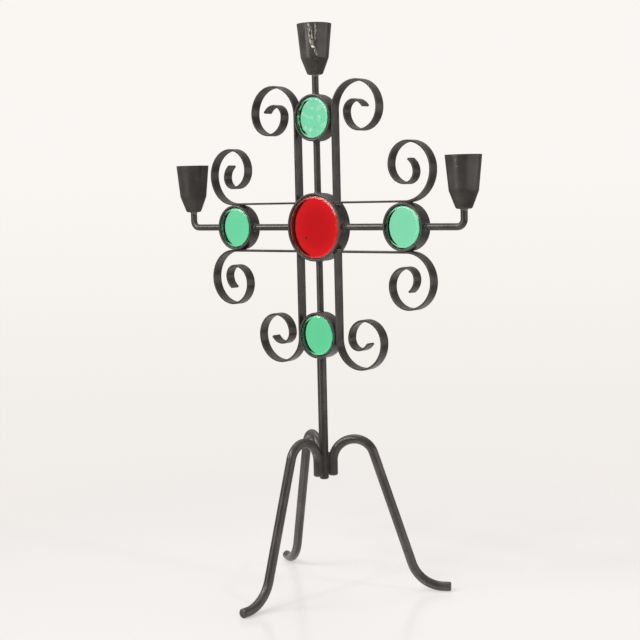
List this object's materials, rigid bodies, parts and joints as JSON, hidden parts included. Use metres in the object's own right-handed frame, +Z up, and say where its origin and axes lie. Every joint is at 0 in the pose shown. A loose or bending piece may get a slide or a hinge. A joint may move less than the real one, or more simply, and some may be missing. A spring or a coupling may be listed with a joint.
{
  "type": "candlestick",
  "caption": "Wrought-iron table candlestick: bent legs and a stem carry a cross of scrolled strips and rings set with coloured glass discs, with tapered candle cups.",
  "frame": {"origin": "on the floor, under the stem's axis", "axes": "+Z up along the stem; the cross lies in the XZ plane and faces -Y; +X is its right-hand cup, seen from the front"},
  "size_m": [0.2846, 0.1444, 0.4225],
  "materials": {
    "iron": "satin black paint over iron",
    "green_glass": "clear cast glass, bottle green",
    "red_glass": "clear cast glass, ruby red"
  },
  "bodies": {
    "root": {"centre_ring": "iron", "stem": "iron", "top_rod": "iron", "right_arm": "iron", "left_arm": "iron", "front_leg": "iron", "right_leg": "iron", "left_leg": "iron", "top_cup": "iron", "left_cup": "iron", "right_cup": "iron", "top_ring": "iron", "top_inner_rod": "iron", "left_ring": "iron", "left_inner_rod": "iron", "bottom_ring": "iron", "bottom_inner_rod": "iron", "right_ring": "iron", "right_inner_rod": "iron", "top_left_scroll": "iron", "top_right_scroll": "iron", "left_lower_scroll": "iron", "left_upper_scroll": "iron", "bottom_right_scroll": "iron", "bottom_left_scroll": "iron", "right_upper_scroll": "iron", "right_lower_scroll": "iron", "top_glass": "green_glass", "left_glass": "green_glass", "bottom_glass": "green_glass", "right_glass": "green_glass", "centre_glass": "red_glass"}
  },
  "joints": []
}
